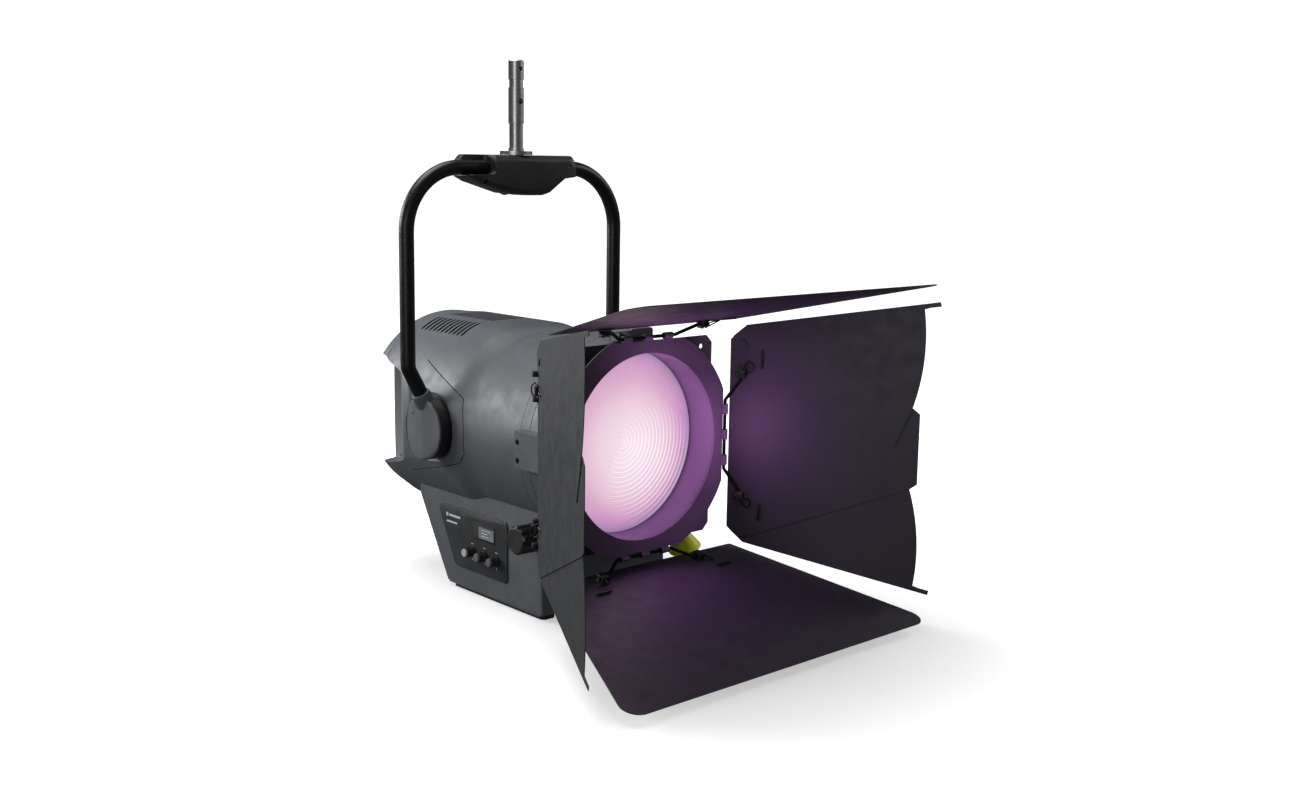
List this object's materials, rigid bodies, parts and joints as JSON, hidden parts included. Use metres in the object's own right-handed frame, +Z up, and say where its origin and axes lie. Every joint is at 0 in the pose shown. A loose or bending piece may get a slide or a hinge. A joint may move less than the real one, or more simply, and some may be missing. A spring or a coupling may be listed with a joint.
{
  "type": "fresnel spotlight",
  "caption": "Pole-operated fresnel spotlight: cylindrical lamp house on a tilting yoke with a spigot, stepped lens, zoom carriage and a rotating barn door with fan blades.",
  "frame": {"origin": "on the floor plane under the middle of the object's box", "axes": "+X to the right as seen facing the lens, +Y to the rear (the beam leaves along -Y), +Z up along the spigot"},
  "size_m": [0.7402, 0.9756, 0.96],
  "materials": {
    "housing_paint": "satin grey powder coat",
    "yoke_paint": "satin black powder coat",
    "door_paint": "satin black paint",
    "black_metal": "satin black paint",
    "lens_glass": "gloss",
    "panel_plastic": "matte",
    "display_glass": "gloss",
    "circuit_board": "satin",
    "module_case": "satin",
    "rubber": "matte",
    "black_plastic": "satin",
    "bright_steel": "satin",
    "bronze": "satin",
    "knob_plastic": "satin",
    "raw_aluminium": "satin",
    "led_board": "gloss",
    "yellow_plastic": "gloss",
    "white_plastic": "gloss",
    "blue_plastic": "gloss"
  },
  "bodies": {
    "lamp_house": {"barrel_shell": "housing_paint", "side_panels": "housing_paint", "rear_cover": "housing_paint", "nose_ring": "housing_paint", "fresnel_lens": "lens_glass", "lens_clamp_ring": "black_metal", "base_housing": "housing_paint", "control_panel": "panel_plastic", "display_window": "display_glass", "control_board": "circuit_board", "power_supply": "module_case", "rubber_feet": "rubber", "rear_connectors": "black_plastic", "pivot_stubs": "bright_steel", "tilt_wheel": "bronze", "accessory_brackets": "black_metal", "bracket_screws": "bright_steel", "guide_rods": "bright_steel", "bearing_blocks": "black_metal", "zoom_belts": "rubber", "focus_gearbox": "black_metal", "accessory_frame": "black_metal"},
    "encoder_1": {"encoder_knob_1": "knob_plastic"},
    "encoder_2": {"encoder_knob_2": "knob_plastic"},
    "encoder_3": {"encoder_knob_3": "knob_plastic"},
    "latch": {"top_latch": "bright_steel"},
    "carriage": {"carriage_plate": "raw_aluminium", "led_module": "led_board", "mixing_cone": "raw_aluminium", "heat_sink": "raw_aluminium", "fan_frame": "black_plastic"},
    "fan": {"fan_rotor": "black_plastic"},
    "zoom_drive": {"zoom_shaft": "bright_steel", "focus_knob": "black_plastic"},
    "idler": {"idler_shaft": "bright_steel"},
    "zoom_cup": {"focus_cup": "yellow_plastic"},
    "yoke": {"yoke_arms": "yoke_paint", "pivot_drum_right": "yoke_paint", "pivot_drum_left": "yoke_paint", "pan_head": "yoke_paint", "belly_cover": "yoke_paint"},
    "tilt_drive": {"tilt_worm": "bright_steel", "tilt_cup": "white_plastic"},
    "pan_spigot": {"spigot": "bright_steel", "pan_wheel": "bronze"},
    "pan_drive": {"pan_worm": "bright_steel", "pan_cup": "blue_plastic"},
    "ring": {"door_ring": "door_paint"},
    "right_link": {"link_right": "bright_steel"},
    "right_leaf": {"leaf_right": "door_paint"},
    "top_link": {"link_top": "bright_steel"},
    "top_leaf": {"leaf_top": "door_paint"},
    "left_link": {"link_left": "bright_steel"},
    "left_leaf": {"leaf_left": "door_paint"},
    "bottom_link": {"link_bottom": "bright_steel"},
    "bottom_leaf": {"leaf_bottom": "door_paint"},
    "right_upper_blade": {"blade_right_upper": "door_paint"},
    "right_lower_blade": {"blade_right_lower": "door_paint"},
    "left_upper_blade": {"blade_left_upper": "door_paint"},
    "left_lower_blade": {"blade_left_lower": "door_paint"}
  },
  "joints": [
    {"name": "yoke_tilt", "type": "hinge", "parent": "lamp_house", "child": "yoke", "pos_m": [0.00405, 0.22984, 0.306], "axis": [-1, 0, 0], "range_deg": [-20, 95]},
    {"name": "tilt_cup_turn", "type": "hinge", "parent": "yoke", "child": "tilt_drive", "pos_m": [0.23205, 0.19424, 0.306], "axis": [0, 0, 1], "range_deg": [-240, 1140]},
    {"name": "spigot_pan", "type": "hinge", "parent": "yoke", "child": "pan_spigot", "pos_m": [0.00405, 0.22984, 0.786], "axis": [0, 0, 1], "continuous": true},
    {"name": "pan_cup_turn", "type": "hinge", "parent": "yoke", "child": "pan_drive", "pos_m": [0.03965, 0.22984, 0.736], "axis": [0, -1, 0], "continuous": true},
    {"name": "zoom_travel", "type": "slide", "parent": "lamp_house", "child": "carriage", "axis": [0, 1, 0], "range_m": [-0.11, 0.07]},
    {"name": "focus_knob_turn", "type": "hinge", "parent": "lamp_house", "child": "zoom_drive", "pos_m": [-0.14595, -0.01516, 0.148], "axis": [-1, 0, 0], "range_deg": [-627.7, 399.6]},
    {"name": "idler_turn", "type": "hinge", "parent": "lamp_house", "child": "idler", "pos_m": [0.00405, 0.37984, 0.148], "axis": [-1, 0, 0], "range_deg": [-627.7, 399.6]},
    {"name": "focus_cup_turn", "type": "hinge", "parent": "lamp_house", "child": "zoom_cup", "pos_m": [0.18555, -0.01516, 0.148], "axis": [-0.342, 0, 0.9397], "range_deg": [-627.7, 399.6]},
    {"name": "fan_spin", "type": "hinge", "parent": "carriage", "child": "fan", "pos_m": [0.00405, 0.29184, 0.306], "axis": [0, 1, 0], "continuous": true},
    {"name": "encoder_1_turn", "type": "hinge", "parent": "lamp_house", "child": "encoder_1", "pos_m": [-0.14595, 0.16984, 0.082], "axis": [-1, 0, 0], "continuous": true},
    {"name": "encoder_2_turn", "type": "hinge", "parent": "lamp_house", "child": "encoder_2", "pos_m": [-0.14595, 0.13284, 0.081], "axis": [-1, 0, 0], "continuous": true},
    {"name": "encoder_3_turn", "type": "hinge", "parent": "lamp_house", "child": "encoder_3", "pos_m": [-0.14595, 0.09584, 0.08], "axis": [-1, 0, 0], "continuous": true},
    {"name": "latch_swing", "type": "hinge", "parent": "lamp_house", "child": "latch", "pos_m": [-0.00795, -0.10016, 0.4985], "axis": [0, 1, 0], "range_deg": [0, 100]},
    {"name": "ring_turn", "type": "hinge", "parent": "lamp_house", "child": "ring", "pos_m": [0.00405, -0.13616, 0.306], "axis": [0, -1, 0], "continuous": true},
    {"name": "right_link_swing", "type": "hinge", "parent": "ring", "child": "right_link", "pos_m": [0.19155, -0.13616, 0.306], "axis": [0, 0, -1], "range_deg": [-60, 15]},
    {"name": "right_leaf_swing", "type": "hinge", "parent": "right_link", "child": "right_leaf", "pos_m": [0.20926, -0.15654, 0.306], "axis": [0, 0, -1], "range_deg": [-16, 35]},
    {"name": "right_upper_blade_fold", "type": "hinge", "parent": "right_leaf", "child": "right_upper_blade", "pos_m": [0.21463, -0.1561, 0.469], "axis": [0.8949, 0.4462, 0], "range_deg": [0, 22]},
    {"name": "right_lower_blade_fold", "type": "hinge", "parent": "right_leaf", "child": "right_lower_blade", "pos_m": [0.21463, -0.1561, 0.143], "axis": [-0.8949, -0.4462, 0], "range_deg": [0, 22]},
    {"name": "top_link_swing", "type": "hinge", "parent": "ring", "child": "top_link", "pos_m": [0.00405, -0.13616, 0.4935], "axis": [-1, 0, 0], "range_deg": [-9, 60]},
    {"name": "top_leaf_swing", "type": "hinge", "parent": "top_link", "child": "top_leaf", "pos_m": [0.00405, -0.15654, 0.51121], "axis": [-1, 0, 0], "range_deg": [-12, 28]},
    {"name": "left_link_swing", "type": "hinge", "parent": "ring", "child": "left_link", "pos_m": [-0.18345, -0.13616, 0.306], "axis": [0, 0, 1], "range_deg": [-13, 45]},
    {"name": "left_leaf_swing", "type": "hinge", "parent": "left_link", "child": "left_leaf", "pos_m": [-0.20927, -0.12827, 0.306], "axis": [0, 0, 1], "range_deg": [-55, 35]},
    {"name": "left_lower_blade_fold", "type": "hinge", "parent": "left_leaf", "child": "left_lower_blade", "pos_m": [-0.21464, -0.12782, 0.143], "axis": [-0.8949, 0.4462, 0], "range_deg": [0, 22]},
    {"name": "left_upper_blade_fold", "type": "hinge", "parent": "left_leaf", "child": "left_upper_blade", "pos_m": [-0.21464, -0.12782, 0.469], "axis": [0.8949, -0.4462, 0], "range_deg": [0, 22]},
    {"name": "bottom_link_swing", "type": "hinge", "parent": "ring", "child": "bottom_link", "pos_m": [0.00405, -0.13616, 0.1185], "axis": [1, 0, 0], "range_deg": [-15, 60]},
    {"name": "bottom_leaf_swing", "type": "hinge", "parent": "bottom_link", "child": "bottom_leaf", "pos_m": [0.00405, -0.15654, 0.10079], "axis": [1, 0, 0], "range_deg": [-18, 28]}
  ],
  "couplings": [
    {"joint": "tilt_cup_turn", "follows": "yoke_tilt", "ratio": 12},
    {"joint": "pan_cup_turn", "follows": "spigot_pan", "ratio": 12},
    {"joint": "focus_knob_turn", "follows": "zoom_travel", "rad_per_m": 99.502},
    {"joint": "idler_turn", "follows": "zoom_travel", "rad_per_m": 99.502},
    {"joint": "focus_cup_turn", "follows": "zoom_travel", "rad_per_m": 99.502}
  ]
}
